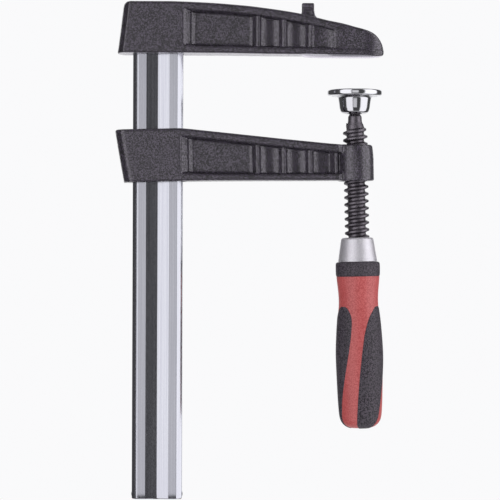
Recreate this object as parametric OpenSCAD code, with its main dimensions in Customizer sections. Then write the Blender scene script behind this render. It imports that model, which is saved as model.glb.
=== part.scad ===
// F clamp (malleable cast bar clamp), millimetres, +Z up.
// Origin: middle of the fixed arm's clamping face, on the screw's line of
// action. +X runs from the rail towards the arm tips, +Z runs up the rail.
// The clamp hangs with its fixed arm on top and its handle below.

/* [Rail] */
// Width of the profiled steel rail
rail_w = 35; // [34:0.5:35.5]
// Thickness of the rail
rail_t = 11; // [10:0.5:11.5]
// Distance from the screw's line to the middle of the rail
reach = 137.5; // [137:0.5:138]
// Length of rail below the clamping face
rail_below = 309; // [280:1:400]
// Width of the shallow V groove down each wide face
groove_w = 15.4; // [12:0.2:18]
// Depth of the V groove
groove_d = 1.9; // [1:0.1:2.4]
// Width of the bevel along each long edge, seen from the front
bevel_w = 3.9; // [3:0.1:4.1]
// Depth of that bevel
bevel_d = 3.2; // [2:0.1:3.3]

/* [Fixed arm] */
// Full depth (front to back) of the fixed arm's head
fixed_head_t = 26; // [24:0.5:30]
// Thickness of the web between the pockets
web_t = 9; // [7:0.5:10]
// Height of the fixed arm's head above the clamping face
fixed_head_h = 38.2; // [37.5:0.1:39]
// Diameter of the two pins through head and rail
arm_pin_d = 5; // [4:0.5:6]

/* [Sliding arm] */
// Full depth of the sliding arm's head
slide_head_t = 27; // [25:0.5:30]
// Height of the middle of the sliding arm's head
slide_z = -68.5; // [-70:0.5:-67]
// Angle by which the sliding arm leans on the rail
cant = 1.3; // [1.1:0.1:1.4]
// Width of the window that the rail runs through
window_w = 36.5; // [36.4:0.1:37.5]
// Depth of that window
window_t = 12; // [11.8:0.1:13]
// Diameter of the boss that carries the screw
boss_d = 24.6; // [23:0.2:26]

/* [Screw] */
// Outer diameter of the trapezoidal thread
thread_d = 17.2; // [16:0.1:17.4]
// Core diameter of the thread
core_d = 12.3; // [11.5:0.1:12.6]
// Pitch of the single-start right-hand thread
pitch = 5; // [5:0.5:6]
// Radial clearance between thread and arm bore
thread_gap = 0.15; // [0.1:0.05:0.25]
// Diameter of the ball on the screw's upper end
ball_d = 12; // [11.6:0.1:12]
// Diameter of the neck below the ball
neck_d = 9.5; // [8.6:0.1:9.5]

/* [Pressure pad] */
// Diameter of the pressure plate
plate_d = 38.4; // [36:0.2:38.8]
// Thickness of the plate over its rolled rim
plate_t = 4.2; // [3.8:0.1:4.4]
// Gap between the plate and the fixed arm
jaw_gap = 22.6; // [20:0.1:24]

/* [Handle] */
// Distance from the ball's centre to the ferrule's upper face
ferrule_top = 92.7; // [90:0.1:95]
// Length of the ferrule
ferrule_l = 16.9; // [15:0.1:18]
// Length of the soft collar under the ferrule
collar_l = 10.2; // [9:0.1:12]
// How far the soft panels stand proud of the hard core
panel_proud = 0.45; // [0.4:0.05:0.6]
// Depth of the panels' recesses below the core's surface
panel_depth = 1.6; // [1.2:0.1:2]

/* [Hidden] */
$fn = 64;

rail_x = -reach;
rail_top = 36.6;
ball_z = -jaw_gap - 10.6;       // centre of the ball on the screw's line
arm_x = 0.75;                   // screw axis in the sliding arm's own frame
bore_d = thread_d + 2 * thread_gap;
flute_p = 18.2;                 // spacing of the flutes along the arms
flute_0 = -66.7;                // first ridge between plain web and flutes
ridge_y = 9.2;                  // ridges' distance from the middle plane
valley_y = 5.0;                 // flute bottoms' distance from it
ridge_w = 0.8;                  // flat left on each ridge

iron = [0.27, 0.26, 0.28];
steel = [0.74, 0.76, 0.79];
blackened = [0.22, 0.21, 0.22];
chromed = [0.82, 0.83, 0.86];
red = [0.78, 0.22, 0.19];
soft = [0.2, 0.19, 0.21];

// ---------------------------------------------------------------- frames

// The sliding arm's own frame: square to the rail, then leaned by the play
// of its window, about the middle of the rail.
module leaned() {
    translate([rail_x, 0, slide_z]) rotate([0, -cant, 0])
        translate([-rail_x, 0, -slide_z]) children();
}

// The screw's frame: origin at the ball's centre, +Z up the screw.
module on_screw() {
    translate([0, 0, ball_z]) rotate([0, -cant, 0]) children();
}

// A side view [x, z] given depth t in Y.
module side_plate(t) {
    rotate([90, 0, 0]) linear_extrude(t, center = true) children();
}

// A plan view [x, y] drawn out in Z.
module plan_column(z0, z1) {
    translate([0, 0, z0]) linear_extrude(z1 - z0) children();
}

// ---------------------------------------------------------------- rail

function rail_half(w, t) = [
    // each bevel bulges a little: it has a middle point off its chord
    [-w, -t + bevel_d], [-w + 0.455 * bevel_w, -t + 0.435 * bevel_d],
    [-w + bevel_w, -t], [-groove_w / 2, -t], [0, -t + groove_d],
    [groove_w / 2, -t], [w - bevel_w, -t],
    [w - 0.455 * bevel_w, -t + 0.435 * bevel_d], [w, -t + bevel_d],
    [w, t - bevel_d], [w - 0.455 * bevel_w, t - 0.435 * bevel_d],
    [w - bevel_w, t], [groove_w / 2, t], [0, t - groove_d],
    [-groove_w / 2, t], [-w + bevel_w, t],
    [-w + 0.455 * bevel_w, t - 0.435 * bevel_d], [-w, t - bevel_d]];

module rail_section() {
    polygon(rail_half(rail_w / 2, rail_t / 2));
}

module arm_pin_places() {
    for (z = [12, 27]) translate([rail_x, 0, z]) children();
}

module rail() {
    color(steel) {
        difference() {
            translate([rail_x, 0, 0])
                plan_column(-rail_below, rail_top) rail_section();
            arm_pin_places() rotate([90, 0, 0])
                cylinder(d = arm_pin_d, h = 40, center = true);
            // the rail's lower end is broken all round
            for (s = [-1, 1]) translate([rail_x + s * rail_w / 2, 0, -rail_below])
                rotate([0, 45, 0]) cube([1.4, 40, 1.4], center = true);
            for (s = [-1, 1]) translate([rail_x, s * rail_t / 2, -rail_below])
                rotate([45, 0, 0]) cube([60, 1, 1], center = true);
        }
        // staked burrs that keep the sliding arm on the rail
        for (s = [-1, 1]) translate([rail_x + s * (rail_w / 2 - 0.5), 0, -rail_below + 3.2])
            rotate([0, s * 90, 0]) cylinder(r1 = 1.7, r2 = 1.0, h = 1.4, $fn = 32);
    }
}

// ---------------------------------------------------------------- arms

// What a pocket removes on one side of the web, seen in plan: a sloped wall
// at the head's end, the plain web, then n hollows with ridges between them.
// Each hollow is shallower than the one before it by fade.
function hollow_r(v) = let (c = (flute_p - ridge_w) / 2, d = ridge_y - v)
    (c * c + d * d) / (2 * d);

module pocket_plan(x0, x1, n, fade) {
    far = 30;
    polygon([[x0, far], [x0, 13.2], [x0 + 5, web_t / 2 + 0.9],
             [x0 + 6.6, web_t / 2 + 0.9], [x0 + 7.4, web_t / 2],
             [flute_0 - 4.2, web_t / 2], [flute_0 - 0.4, ridge_y],
             [x1, ridge_y], [x1, far]]);
    for (i = [0 : n - 1]) {
        v = valley_y + fade * i * i;
        translate([flute_0 + (i + 0.5) * flute_p, v + hollow_r(v)])
            circle(r = hollow_r(v), $fn = 72);
    }
}

module pocket(x0, x1, n, fade, side) {
    for (m = [0, 1]) mirror([0, m, 0]) intersection() {
        plan_column(-120, 60) pocket_plan(x0, x1, n, fade);
        side_plate(80) polygon(side);
    }
}

// rounded corner of a plan view: centre c, radius r, from angle a0 to a1
function corner(c, r, a0, a1) = [for (a = [a0 : 9 : a1 + 0.01])
    [c[0] + r * cos(a), c[1] + r * sin(a)]];

fixed_side = [
    [-165.2, 2], [-163.6, 18], [-161.3, 33.6], [-160.6, 35.8], [-159.2, 37.4],
    [-157.3, 38.1], [-155, fixed_head_h], [-124, fixed_head_h], [-108, 37.9],
    [-97, 37.2], [-88.8, 36.4], [-80.5, 35.7], [-72.1, 34.8], [-63.7, 33.7],
    [-55.4, 32.5], [-47, 31.4], [-38.7, 30.0], [-28, 27.6], [-17.8, 25.0],
    [-9.4, 23.2], [-1, 21.0], [4.2, 19.9], [8.4, 18.5], [12, 16.7],
    [14.8, 14.7], [17, 12.1], [18.8, 8.9], [19.7, 5.9], [20, 3.2],
    [19.9, 1.8], [19.2, 0.8], [17.6, 0], [-35.6, 0], [-38, 2]];

fixed_pocket = [
    [-119.5, 7.2], [-119.5, 33.1], [-112.5, 32.2], [-72.1, 29.6],
    [-55, 27.4], [-38.7, 24.7], [-20, 20.9], [-9.3, 17.9],
    [-9.3, 5.3], [-38.7, 5.6], [-112.5, 6.6]];

module fixed_plan() {
    h = fixed_head_t / 2;
    r = 9.5;
    polygon(concat(
        corner([-165.4 + r, -h + r], r, 180, 270), [[-124, -h]],
        [for (a = [-90 : 7.5 : 90]) [4 + 16.8 * cos(a), 9.6 * sin(a)]],
        [[-124, h]], corner([-165.4 + r, h - r], r, 90, 180)));
}

module fixed_arm() {
    color(iron) {
        difference() {
            intersection() {
                side_plate(60) polygon(fixed_side);
                plan_column(-5, 45) fixed_plan();
            }
            pocket(-119.5, -9.3, 3, 0.75, fixed_pocket);
            // socket for the rail
            translate([rail_x, 0, 0]) plan_column(-1, 50) rail_section();
            // holes for the two pins, blind from the front
            arm_pin_places() translate([0, fixed_head_t / 2 + 1, 0])
                rotate([90, 0, 0]) cylinder(d = arm_pin_d, h = fixed_head_t - 3);
            // crowned clamping face: bevels on its long edges
            for (s = [-1, 1]) translate([0, s * 6, 0])
                rotate([s * 25, 0, 0]) translate([-41.3, -8, -6])
                    cube([64, 16, 6]);
        }
        // small lug on the back of the arm
        side_plate(8.4) polygon([[-41, 28.2], [-38.3, 30.2], [-37.1, 31.5],
            [-37.1, 37.9], [-28.7, 37.9], [-28.7, 31.2], [-28.2, 29.7],
            [-27, 28.3], [-25.1, 27.2], [-22.6, 26.3], [-19.5, 23.9],
            [-24, 22], [-38, 24]]);
    }
}

module fixed_arm_pins() {
    color(steel) arm_pin_places() translate([0, fixed_head_t / 2 - 0.2, 0])
        rotate([90, 0, 0]) cylinder(d = arm_pin_d, h = fixed_head_t - 4.2);
}

slide_side = [
    [-161.4, -87.2], [-164.3, -67.6], [-166.5, -52.4], [-166.3, -51.4],
    [-165.4, -50.9], [-153.8, -50.2], [-121.4, -50.4], [-117.9, -50.7],
    [-80.5, -55.0], [-8.8, -63.9], [0.75, -64.3], [0.75, -89.3],
    [-9, -88.4], [-74, -87.7], [-122, -87.3], [-160.6, -87.4]];

slide_pocket = [
    [-119.5, -56.4], [-112, -57.0], [-71, -62.0], [-37, -66.0],
    [-11.4, -68.8], [-11.4, -85.1], [-74, -83.8], [-119.5, -82.6]];

module slide_plan() {
    h = slide_head_t / 2;
    r = 9.7;
    polygon(concat(
        corner([-166.8 + r, -h + r], r, 180, 270),
        [[-123, -h], [-8, -10.4], [2, -10.4], [2, 10.4], [-8, 10.4], [-123, h]],
        corner([-166.8 + r, h - r], r, 90, 180)));
}

module sliding_arm() {
    color(iron) leaned() difference() {
        union() {
            difference() {
                intersection() {
                    side_plate(60) polygon(slide_side);
                    plan_column(-100, -40) slide_plan();
                }
                pocket(-119.5, -11.4, 3, 0, slide_pocket);
            }
            // boss for the screw, a little chamfered on its upper rim
            translate([arm_x, 0, -89.5]) {
                cylinder(d = boss_d, h = 23.9);
                translate([0, 0, 23.9]) cylinder(d1 = boss_d, d2 = boss_d - 2.6, h = 1.3);
            }
        }
        // window that the rail runs through
        translate([rail_x - window_w / 2, -window_t / 2, -95])
            cube([window_w, window_t, 60]);
        // bore of the boss
        translate([arm_x, 0, -100]) cylinder(d = bore_d, h = 50);
    }
}

// ---------------------------------------------------------------- screw

// One straight-flanked turn after another: sections of the thread ridge,
// each with its upper root, upper crest, lower crest and lower root point.
steps = 24;
thread_s0 = 15.2;
thread_s1 = ferrule_top + 2.6;
thread_n = floor((thread_s1 - thread_s0) / pitch * steps);
root_r = core_d / 2 - 0.35;

function ridge_h(i) = // the thread runs in over three quarters of a turn
    let (k = min(1, i / (steps * 0.75), (thread_n - i) / 6))
    root_r + 0.45 + (thread_d / 2 - root_r - 0.45) * k;

function ridge_points() = [for (i = [0 : thread_n])
    let (a = i * 360 / steps - 144, s = -thread_s0 - i * pitch / steps, r = ridge_h(i))
    each [[root_r * cos(a), -root_r * sin(a), s + 1.75],
          [r * cos(a), -r * sin(a), s + 0.55],
          [r * cos(a), -r * sin(a), s - 0.55],
          [root_r * cos(a), -root_r * sin(a), s - 1.75]]];

function ridge_faces() = concat(
    [[3, 2, 1, 0]],
    [for (i = [0 : thread_n - 1]) for (j = [0 : 3])
        let (a = 4 * i + j, b = 4 * i + (j + 1) % 4)
        each [[a, b, b + 4], [a, b + 4, a + 4]]],
    [[4 * thread_n, 4 * thread_n + 1, 4 * thread_n + 2, 4 * thread_n + 3]]);

module thread_ridge() {
    polyhedron(points = ridge_points(), faces = ridge_faces(), convexity = 20);
}

tang_end = 158;   // the screw's plain end inside the handle

module spindle_core() {
    c = core_d / 2;
    n = neck_d / 2;
    rotate_extrude($fn = 72) polygon([
        [0, -tang_end], [c - 1, -tang_end], [c, -tang_end + 1],
        [c, -14.6], [n + 0.25, -12.0], [n, -10.6], [n, -7.4], [3.8, -6.6],
        [3.8, -4.0], [0, -4.0]]);
    sphere(d = ball_d, $fn = 72);
}

module spindle() {
    color(blackened) on_screw() {
        spindle_core();
        thread_ridge();
    }
}

// ---------------------------------------------------------------- pad
// The pad stands level. Its origin is the ball's centre.

seat_r = 7.85;     // inside of the socket, concentric with the ball
plate_low = 10.6 - plate_t;

module pad_socket() {
    color(chromed) translate([0, 0, ball_z]) difference() {
        rotate_extrude($fn = 96) difference() {
            union() {
                // tapered cup with a rounded foot
                polygon([[0, -5.9], [7.2, -5.9], [8.6, -5.4], [9.6, -4.5],
                         [10.3, -3.0], [10.7, -1.4], [11.1, 1.8], [11.5, 4.6],
                         [12.1, 5.7], [13.2, 6.3], [15.6, 6.6], [15.6, 8.1],
                         [0, 8.1]]);
            }
            circle(r = seat_r, $fn = 96);
            translate([-20, -20]) square([20, 40]);
        }
    }
}

module pressure_plate() {
    r = plate_d / 2;
    color(chromed) translate([0, 0, ball_z]) rotate_extrude($fn = 96) difference() {
        union() {
            translate([0, plate_low]) square([r - plate_t / 2, plate_t]);
            translate([r - plate_t / 2, plate_low + plate_t / 2])
                circle(d = plate_t, $fn = 48);
        }
        // seat for the socket's flange, open below
        translate([-1, -1]) square([16.6, 9.1]);
        translate([-50, -50]) square([50, 100]);
    }
}

module pad_retaining_ring() {
    // split ring trapped between the ball and the socket's closed foot
    color(steel) translate([0, 0, ball_z]) difference() {
        rotate_extrude($fn = 96) intersection() {
            difference() {
                circle(r = 7.5, $fn = 96);
                circle(r = ball_d / 2 + 0.2, $fn = 96);
            }
            translate([4.9, -4.95]) square([5, 3.6]);
        }
        translate([0, -0.75, -10]) cube([20, 1.5, 20]);
    }
}

// ---------------------------------------------------------------- handle
// Stations are distances from the ball's centre, down the screw.

ferrule_end = ferrule_top + ferrule_l;
collar_end = ferrule_end + collar_l;
grip_end = 225.6;

// radius of the hard grip at station s
grip_r = [[119, 15.05], [119.8, 15.05], [124, 14.7], [128.2, 14.25],
          [132.5, 13.9], [137.5, 13.75], [142, 14.0], [146, 14.45],
          [150.6, 14.95], [157.5, 15.5], [164.6, 15.95], [170, 16.2],
          [175.8, 16.3], [184, 16.15], [192.6, 15.9], [200, 15.65],
          [206.6, 15.4], [211.5, 15.1], [215.5, 14.8], [218.3, 14.35],
          [220.6, 13.6], [222.5, 12.4], [223.9, 10.9], [224.9, 9.3],
          [225.6, 7.2], [226, 7.2]];

// the soft panels' two borders at station s, degrees round the grip from
// the front, towards +X
border_a = [[140.6, 60], [141.3, 50], [142.2, 46.5], [146.7, 30.9],
            [152.1, 20.2], [160.4, 11], [169.4, 5.5], [178.6, 1.2],
            [187.6, -2.6], [196.7, -5.8], [205.8, -9], [214.9, -11.8],
            [223, -15], [226.7, -16]];
border_b = [[140.6, 74], [141.3, 80], [142.2, 85], [146.7, 96],
            [152.1, 99], [160.4, 97.4], [169.4, 93], [178.6, 87],
            [187.6, 79.5], [196.7, 71.5], [205.8, 63.5], [214.9, 57],
            [223, 51.5], [226.7, 50]];

rows = [140.6, 141.3, 142.2, 144, 146.7, 149.4, 152.1, 156, 160.4, 165,
        169.4, 174, 178.6, 183, 187.6, 192, 196.7, 201.2, 205.8, 210.4,
        214.4, 217.8, 220.6, 222.7, 224.2];
cols = 6;

// One soft panel: an outer skin a little proud of the grip and an inner
// skin below its surface, both ruled between the two borders.
function skin(off) = [for (s = rows) for (j = [0 : cols])
    let (a = lookup(s, border_a) + (lookup(s, border_b) - lookup(s, border_a)) * j / cols,
         r = lookup(s, grip_r) + off)
    [r * sin(a), -r * cos(a), -s]];

module panel_solid() {
    nr = len(rows);
    w = cols + 1;
    m = nr * w;
    pts = concat(skin(panel_proud), skin(-panel_depth));
    faces = concat(
        [for (i = [0 : nr - 2]) for (j = [0 : cols - 1])
            let (a = i * w + j, b = a + 1, c = a + w, d = c + 1)
            each [[a, b, d], [a, d, c], [m + a, m + d, m + b], [m + a, m + c, m + d]]],
        [for (i = [0 : nr - 2])
            let (a = i * w, c = a + w, e = a + cols, g = e + w)
            each [[a, c, m + c], [a, m + c, m + a], [e, m + g, g], [e, m + e, m + g]]],
        [for (j = [0 : cols - 1])
            let (a = j, b = j + 1, c = (nr - 1) * w + j, d = c + 1)
            each [[a, m + b, b], [a, m + a, m + b], [c, d, m + d], [c, m + d, m + c]]]);
    polyhedron(points = pts, faces = faces, convexity = 6);
}

module panels(which) {
    for (k = which) rotate([0, 0, 120 * k]) panel_solid();
}

module ferrule() {
    color(steel) on_screw() difference() {
        rotate_extrude($fn = 72) polygon([
            [0, -ferrule_top], [10.2, -ferrule_top], [11.0, -ferrule_top - 0.6],
            [11.45, -ferrule_top - 1.7], [13.6, -ferrule_end + 0.5],
            [13.6, -ferrule_end], [0, -ferrule_end]]);
        // clearance for the screw, and the socket for the handle's spigot
        translate([0, 0, -ferrule_top - 4]) cylinder(d = thread_d + 0.1, h = 10);
        translate([0, 0, -ferrule_end - 1]) cylinder(r = 9.6, h = ferrule_l - 3);
    }
}

module grip_collar() {
    t = ferrule_end;
    color(soft) on_screw() difference() {
        rotate_extrude($fn = 72) polygon([
            [0, -t], [14.0, -t], [15.0, -t - 0.6], [15.4, -t - 1.8],
            [15.45, -t - 6], [15.2, -collar_end + 0.8], [14.9, -collar_end],
            [0, -collar_end]]);
        translate([0, 0, -collar_end - 1]) cylinder(r = 11.5, h = collar_l + 2);
    }
}

module handle_core() {
    shell = [for (p = grip_r) if (p[0] > collar_end && p[0] < 225.65) [p[1], -p[0]]];
    color(red) on_screw() difference() {
        rotate_extrude($fn = 96) polygon(concat(
            [[0, -ferrule_top - 4], [9.6, -ferrule_top - 4], [9.6, -ferrule_end],
             [11.5, -ferrule_end], [11.5, -collar_end],
             [lookup(collar_end, grip_r), -collar_end]],
            shell, [[0, -grip_end]]));
        // bore for the screw's plain end
        translate([0, 0, -tang_end]) cylinder(d = core_d, h = 100);
        translate([0, 0, -thread_s1 - 2.2]) cylinder(d = thread_d + 0.1, h = 20);
        panels([0, 1, 2]);
    }
}

module grip_panel_1() { color(soft) on_screw() panels([0]); }
module grip_panel_2() { color(soft) on_screw() panels([1]); }
module grip_panel_3() { color(soft) on_screw() panels([2]); }

rail();
fixed_arm();
fixed_arm_pins();
sliding_arm();
spindle();
pad_socket();
pressure_plate();
pad_retaining_ring();
ferrule();
handle_core();
grip_collar();
grip_panel_1();
grip_panel_2();
grip_panel_3();
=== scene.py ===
import bpy
import math
import numpy as np
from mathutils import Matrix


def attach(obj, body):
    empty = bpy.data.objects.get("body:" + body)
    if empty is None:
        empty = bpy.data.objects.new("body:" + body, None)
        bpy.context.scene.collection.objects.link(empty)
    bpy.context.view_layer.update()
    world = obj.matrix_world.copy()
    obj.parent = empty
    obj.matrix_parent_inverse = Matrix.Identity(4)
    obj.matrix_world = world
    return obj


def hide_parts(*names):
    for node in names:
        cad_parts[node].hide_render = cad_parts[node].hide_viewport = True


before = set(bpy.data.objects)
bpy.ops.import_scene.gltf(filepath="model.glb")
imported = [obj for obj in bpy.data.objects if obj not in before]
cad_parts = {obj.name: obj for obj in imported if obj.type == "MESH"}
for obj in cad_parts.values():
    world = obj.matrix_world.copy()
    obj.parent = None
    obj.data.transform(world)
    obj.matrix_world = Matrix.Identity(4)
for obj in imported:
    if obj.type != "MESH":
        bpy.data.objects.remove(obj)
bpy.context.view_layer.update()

MM = 0.001
SCENE = bpy.context.scene

# --------------------------------------------------------------------------
# numbers shared with the CAD frame (millimetres, degrees)
# --------------------------------------------------------------------------
RAIL_X = -137.5
SLIDE_Z = -68.5
CANT = 1.3
ARM_X = 0.75
BALL_Z = -33.2
PITCH = 5.0
FLUTE_P, FLUTE_0 = 18.4, -67.2
C, S = math.cos(math.radians(CANT)), math.sin(math.radians(CANT))


def leaned(v):
    """The sliding arm's own frame into the row frame."""
    v = np.asarray(v, float)
    x, z = v[:, 0] - RAIL_X, v[:, 2] - SLIDE_Z
    return np.column_stack([RAIL_X + x * C - z * S, v[:, 1], SLIDE_Z + x * S + z * C])


def on_screw(v):
    """The screw's frame (origin at the ball, +Z up the screw) into the row frame."""
    v = np.asarray(v, float)
    x, z = v[:, 0], v[:, 2]
    return np.column_stack([x * C - z * S, v[:, 1], BALL_Z + x * S + z * C])


def on_pad(v):
    v = np.array(v, float)
    v[:, 2] += BALL_Z
    return v


def plain(v):
    return np.asarray(v, float)


# --------------------------------------------------------------------------
# mesh helpers
# --------------------------------------------------------------------------
def add_mesh(name, verts, faces, place=plain, mat=None, sharp=None, normals=None):
    v = place(verts) * MM
    me = bpy.data.meshes.new(name)
    if isinstance(faces, np.ndarray):
        k = faces.shape[1]
        me.vertices.add(len(v))
        me.vertices.foreach_set("co", v.astype(np.float32).ravel())
        me.loops.add(faces.size)
        me.loops.foreach_set("vertex_index", faces.astype(np.int32).ravel())
        me.polygons.add(len(faces))
        me.polygons.foreach_set("loop_start", np.arange(0, faces.size, k, dtype=np.int32))
        me.update(calc_edges=True)
    else:
        me.from_pydata([tuple(p) for p in v], [], [tuple(f) for f in faces])
    me.validate(verbose=False)
    me.polygons.foreach_set("use_smooth", [True] * len(me.polygons))
    if sharp is not None:
        me.set_sharp_from_angle(angle=math.radians(sharp))
    if normals is not None and len(normals) == len(me.vertices):
        me.normals_split_custom_set_from_vertices(normals.astype(np.float32))
    me.update()
    ob = bpy.data.objects.new(name, me)
    SCENE.collection.objects.link(ob)
    if mat is not None:
        me.materials.append(mat)
    return ob


def arc(cx, cy, r, a0, a1, n):
    return [(cx + r * math.cos(math.radians(a0 + (a1 - a0) * i / n)),
             cy + r * math.sin(math.radians(a0 + (a1 - a0) * i / n))) for i in range(n + 1)]


def fillet(pts, closed=False, step=0.25):
    """Round the corners of a polyline. Each point is (x, y, r)."""
    out = []
    n = len(pts)
    for i, p in enumerate(pts):
        r = p[2] if len(p) > 2 else 0
        if (not closed and i in (0, n - 1)) or r <= 0:
            out.append((p[0], p[1]))
            continue
        a, b = pts[i - 1], pts[(i + 1) % n]
        u = np.array([a[0] - p[0], a[1] - p[1]], float)
        w = np.array([b[0] - p[0], b[1] - p[1]], float)
        lu, lw = np.linalg.norm(u), np.linalg.norm(w)
        u, w = u / lu, w / lw
        ang = math.acos(max(-1, min(1, float(u @ w))))
        if ang > math.pi - 1e-3:
            out.append((p[0], p[1]))
            continue
        t = min(r / math.tan(ang / 2), 0.49 * lu, 0.49 * lw)
        rr = t * math.tan(ang / 2)
        mid = (u + w) / np.linalg.norm(u + w)
        c = np.array(p[:2]) + mid * (rr / math.sin(ang / 2))
        p0, p1 = np.array(p[:2]) + u * t, np.array(p[:2]) + w * t
        a0 = math.atan2(*(p0 - c)[::-1])
        a1 = math.atan2(*(p1 - c)[::-1])
        d = (a1 - a0 + math.pi) % (2 * math.pi) - math.pi
        k = max(2, int(abs(d) * rr / step) + 1)
        k = min(k, 14)
        for j in range(k + 1):
            a = a0 + d * j / k
            out.append((c[0] + rr * math.cos(a), c[1] + rr * math.sin(a)))
    return out


def spline(pts, per=8):
    """Catmull-Rom through points, centripetal enough for these gentle curves."""
    P = np.array(pts, float)
    P = np.vstack([2 * P[0] - P[1], P, 2 * P[-1] - P[-2]])
    out = []
    for i in range(1, len(P) - 2):
        p0, p1, p2, p3 = P[i - 1:i + 3]
        for j in range(per):
            t = j / per
            out.append(tuple(0.5 * (2 * p1 + (p2 - p0) * t + (2 * p0 - 5 * p1 + 4 * p2 - p3) * t * t
                                    + (3 * p1 - p0 - 3 * p2 + p3) * t ** 3)))
    out.append(tuple(P[-2]))
    return out


def lathe(profile, seg=128, wobble=None):
    """Revolve (r, z) points about Z. Points at r = 0 close the shape."""
    P = np.array(profile, float)
    n = len(P)
    th = np.linspace(0, 2 * np.pi, seg, endpoint=False)
    v, faces, rows = [], [], []
    base = 0
    for r, z in P:
        if r < 1e-6:
            v.append([[0, 0, z]])
            rows.append((base, 1))
            base += 1
        else:
            v.append(np.column_stack([r * np.cos(th), r * np.sin(th), np.full(seg, z)]))
            rows.append((base, seg))
            base += seg
    for (a, na), (b, nb) in zip(rows[:-1], rows[1:]):
        for i in range(seg):
            j = (i + 1) % seg
            if na == 1 and nb == 1:
                continue
            if na == 1:
                faces.append((a, b + j, b + i))
            elif nb == 1:
                faces.append((a + i, a + j, b))
            else:
                faces.append((a + i, a + j, b + j, b + i))
    return np.vstack(v), faces


# --------------------------------------------------------------------------
# distance fields and surface nets, for the two castings
# --------------------------------------------------------------------------
def poly_sdf(P, X, Y):
    P = np.array(P, np.float32)
    Q = np.roll(P, -1, axis=0)
    best = np.full(X.shape, 1e9, np.float32)
    inside = np.zeros(X.shape, bool)
    for (ax, ay), (bx, by) in zip(P, Q):
        ex, ey = bx - ax, by - ay
        L = ex * ex + ey * ey
        if L < 1e-10:
            continue
        t = np.clip(((X - ax) * ex + (Y - ay) * ey) / L, 0, 1)
        dx, dy = X - ax - t * ex, Y - ay - t * ey
        best = np.minimum(best, dx * dx + dy * dy)
        if ey != 0:
            cond = ((ay <= Y) & (by > Y)) | ((by <= Y) & (ay > Y))
            xi = ax + (Y - ay) * (ex / ey)
            inside ^= cond & (X < xi)
    d = np.sqrt(best)
    return np.where(inside, -d, d).astype(np.float32)


def r_and(a, b, r):
    """Intersection with a rounded convex edge."""
    return np.minimum(np.float32(-r), np.maximum(a, b)) + np.sqrt(
        np.maximum(a + r, 0) ** 2 + np.maximum(b + r, 0) ** 2)


def r_or(a, b, r):
    """Union with a rounded concave edge."""
    return np.maximum(np.float32(r), np.minimum(a, b)) - np.sqrt(
        np.maximum(r - a, 0) ** 2 + np.maximum(r - b, 0) ** 2)


def r_sub(a, b, r):
    return r_and(a, -b, r)


class Grid:
    def __init__(self, lo, hi, h):
        self.lo, self.h = np.array(lo, float), h
        n = [int(math.ceil((b - a) / h)) + 1 for a, b in zip(lo, hi)]
        self.x, self.y, self.z = [np.float32(a + h * np.arange(k)) for a, k in zip(lo, n)]
        self.X = self.x[:, None, None]
        self.Y = self.y[None, :, None]
        self.Z = self.z[None, None, :]

    def xz(self, P):
        X, Z = np.meshgrid(self.x, self.z, indexing="ij")
        return poly_sdf(P, X, Z)[:, None, :]

    def xy(self, P, mirror=False):
        X, Y = np.meshgrid(self.x, self.y, indexing="ij")
        return poly_sdf(P, X, np.abs(Y) if mirror else Y)[:, :, None]

    def lean(self, S, zs, shifts, x0, x1):
        """A plan whose left end (x < x0, fading out by x1) slides in x with height."""
        out = np.empty((len(self.x), len(self.y), len(self.z)), np.float32)
        w = np.clip((x1 - self.x) / (x1 - x0), 0, 1)
        for k, z in enumerate(self.z):
            i = np.clip((self.x - np.interp(z, zs, shifts) * w - self.x[0]) / self.h, 0, len(self.x) - 1.001)
            j = i.astype(int)
            t = (i - j).astype(np.float32)[:, None]
            out[:, :, k] = S[j, :, 0] * (1 - t) + S[j + 1, :, 0] * t
        return out


def surface_nets(F, g):
    nx, ny, nz = F.shape
    neg = F < 0
    cnt = np.zeros((nx - 1, ny - 1, nz - 1), np.int8)
    for a in (0, 1):
        for b in (0, 1):
            for c in (0, 1):
                cnt += neg[a:nx - 1 + a, b:ny - 1 + b, c:nz - 1 + c]
    act = (cnt > 0) & (cnt < 8)
    ids = np.full(act.shape, -1, np.int64)
    ci = np.argwhere(act)
    ids[act] = np.arange(len(ci))
    pos = np.zeros((len(ci), 3))
    num = np.zeros(len(ci))
    corners = [(a, b, c) for a in (0, 1) for b in (0, 1) for c in (0, 1)]
    for p in corners:
        for q in corners:
            if sum(q) - sum(p) == 1 and all(qq >= pp for pp, qq in zip(p, q)):
                fp = F[ci[:, 0] + p[0], ci[:, 1] + p[1], ci[:, 2] + p[2]].astype(float)
                fq = F[ci[:, 0] + q[0], ci[:, 1] + q[1], ci[:, 2] + q[2]].astype(float)
                m = (fp < 0) != (fq < 0)
                t = fp[m] / (fp[m] - fq[m])
                d = np.array(q, float) - np.array(p, float)
                pos[m] += np.array(p, float) + t[:, None] * d
                num[m] += 1
    v = g.lo + (ci + pos / num[:, None]) * g.h
    faces = []
    # one quad round every grid edge that the surface crosses
    for ax in range(3):
        b, c = (ax + 1) % 3, (ax + 2) % 3
        sl0, sl1 = [slice(None)] * 3, [slice(None)] * 3
        sl0[ax], sl1[ax] = slice(0, -1), slice(1, None)
        n0, n1 = neg[tuple(sl0)], neg[tuple(sl1)]
        m = n0 != n1
        w = np.argwhere(m)
        ok = (w[:, b] > 0) & (w[:, c] > 0) & (w[:, b] < F.shape[b] - 1) & (w[:, c] < F.shape[c] - 1)
        w = w[ok]
        q = []
        for db, dc in ((-1, -1), (0, -1), (0, 0), (-1, 0)):
            k = w.copy()
            k[:, b] += db
            k[:, c] += dc
            q.append(ids[k[:, 0], k[:, 1], k[:, 2]])
        q = np.column_stack(q)
        flip = ~n0[w[:, 0], w[:, 1], w[:, 2]]
        q[flip] = q[flip][:, ::-1]
        faces.append(q)
    return v, np.vstack(faces)


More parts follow.
